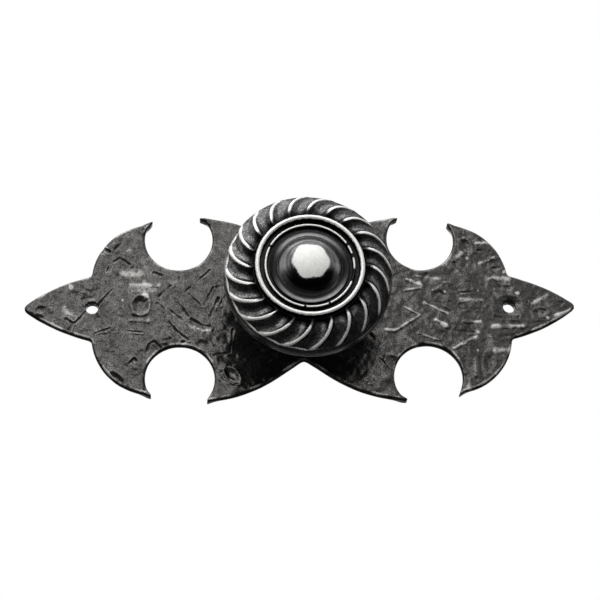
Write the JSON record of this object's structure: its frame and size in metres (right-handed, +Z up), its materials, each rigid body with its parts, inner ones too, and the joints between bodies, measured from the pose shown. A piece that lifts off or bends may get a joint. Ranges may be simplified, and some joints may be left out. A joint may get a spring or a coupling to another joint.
{
  "type": "cabinet knob with backplate",
  "caption": "Round cabinet knob with swirled flutes and a raised ring, standing on a long pointed hammered backplate, held by a machine screw through the door.",
  "frame": {"origin": "middle of the plate's back face, on the knob's axis", "axes": "+X along the plate, +Z up, the knob stands out towards -Y"},
  "size_m": [0.133, 0.0491, 0.0476],
  "materials": {
    "plate_casting": "antique black, hammered, high points burnished",
    "knob_casting": "antique black, crests and ring burnished bright",
    "screw_steel": "zinc plated steel"
  },
  "bodies": {
    "root": {"backplate": "plate_casting", "knob": "knob_casting", "machine_screw": "screw_steel"}
  },
  "joints": []
}
